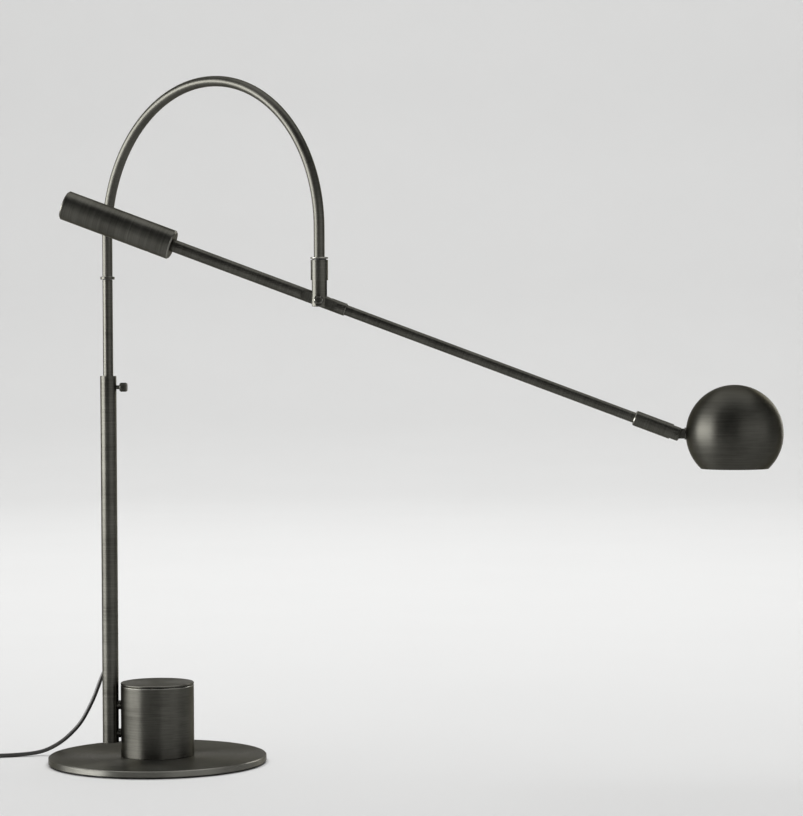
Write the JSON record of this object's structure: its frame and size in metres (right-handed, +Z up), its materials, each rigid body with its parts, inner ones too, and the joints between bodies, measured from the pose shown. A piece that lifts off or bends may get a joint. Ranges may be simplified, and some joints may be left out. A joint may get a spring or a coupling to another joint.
{
  "type": "swing arm table lamp",
  "caption": "Table lamp with a ball shade on a counterweighted arm, pivoted in a fork that hangs from an arch; the arch swivels on a height-adjustable pole fixed beside a weighted drum.",
  "frame": {"origin": "centre of the base's underside, on the table", "axes": "+Z up, +X from the pole towards the drum, +Y to the back, where the cord leaves"},
  "size_m": [0.8257, 0.381, 0.6704],
  "materials": {
    "bronze": "dark bronze plating, brushed and satin lacquered",
    "zinc_steel": "zinc plated steel",
    "brass": "turned brass",
    "black_nylon": "black nylon",
    "pad_rubber": "matt black non-slip pad",
    "cord_jacket": "satin black cord jacket",
    "plug_plastic": "moulded black plastic",
    "white_ceramic": "unglazed white ceramic",
    "bulb_glass": "frosted glass"
  },
  "bodies": {
    "base": {"base_plate": "bronze", "base_pad": "pad_rubber", "base_screws": "zinc_steel", "drum_shell": "bronze", "drum_ballast": "zinc_steel", "drum_deck": "zinc_steel", "dimmer_module": "black_nylon", "dimmer_nut": "brass", "pole": "bronze", "pole_plug": "bronze", "pole_spacers": "bronze", "pole_screws": "zinc_steel", "pole_bush": "black_nylon", "cord_gland": "plug_plastic", "cord_run": "cord_jacket", "cord_coil": "cord_jacket", "cord_tie": "black_nylon", "plug_body": "plug_plastic", "plug_blades": "brass"},
    "dimmer": {"dimmer_cap": "bronze", "dimmer_shaft": "zinc_steel"},
    "thumbscrew": {"lock_screw": "bronze"},
    "stem": {"stem_tube": "bronze", "stem_guide": "black_nylon", "stem_bush": "brass", "foot_washer": "black_nylon", "stem_lead": "cord_jacket"},
    "arch": {"arch_tube": "bronze", "arch_foot": "bronze", "foot_clip": "zinc_steel", "arch_tip": "bronze", "tip_clip": "zinc_steel", "arch_lead": "cord_jacket"},
    "fork": {"fork_body": "bronze", "fork_bush": "brass", "fork_washer": "black_nylon", "pivot_screw": "bronze", "pivot_nut": "bronze", "pivot_washers": "black_nylon"},
    "arm": {"arm_sleeve": "bronze", "arm_rod": "bronze", "rod_stop": "zinc_steel", "arm_lead": "cord_jacket", "counterweight": "bronze", "weight_grub": "zinc_steel"},
    "ferrule": {"ferrule": "bronze", "ferrule_bush": "brass", "knuckle_pin": "bronze"},
    "shade": {"shade_neck": "bronze", "shade_shell": "bronze", "neck_washer": "zinc_steel", "holder_bracket": "zinc_steel", "neck_nut": "brass", "lampholder": "white_ceramic", "holder_screws": "zinc_steel", "bulb_base": "white_ceramic", "bulb_glass": "bulb_glass"}
  },
  "joints": [
    {"name": "dimmer_turn", "type": "hinge", "parent": "base", "child": "dimmer", "pos_m": [0, 0, 0.08], "axis": [0, 0, 1], "range_deg": [-300, 0]},
    {"name": "lock_turn", "type": "hinge", "parent": "base", "child": "thumbscrew", "pos_m": [-0.0385, 0, 0.373], "axis": [1, 0, 0], "range_deg": [0, 360]},
    {"name": "height_slide", "type": "slide", "parent": "base", "child": "stem", "axis": [0, 0, 1], "range_m": [-0.09, 0.1]},
    {"name": "arch_swivel", "type": "hinge", "parent": "stem", "child": "arch", "pos_m": [-0.0465, 0, 0.4797], "axis": [0, 0, 1], "range_deg": [-165, 165]},
    {"name": "fork_swivel", "type": "hinge", "parent": "arch", "child": "fork", "pos_m": [0.16896, -0.18929, 0.4917], "axis": [0, 0, 1], "range_deg": [-197, 128]},
    {"name": "arm_tilt", "type": "hinge", "parent": "fork", "child": "arm", "pos_m": [0.16896, -0.18929, 0.4546], "axis": [-0.1045, -0.9945, 0], "range_deg": [-19.2, 60]},
    {"name": "shade_turn", "type": "hinge", "parent": "arm", "child": "ferrule", "pos_m": [0.49383, -0.22343, 0.33117], "axis": [0.9303, -0.0978, -0.3535], "range_deg": [-160, 160]},
    {"name": "shade_tilt", "type": "hinge", "parent": "ferrule", "child": "shade", "pos_m": [0.49383, -0.22343, 0.33117], "axis": [-0.1045, -0.9945, 0], "range_deg": [-70, 28.5]}
  ]
}
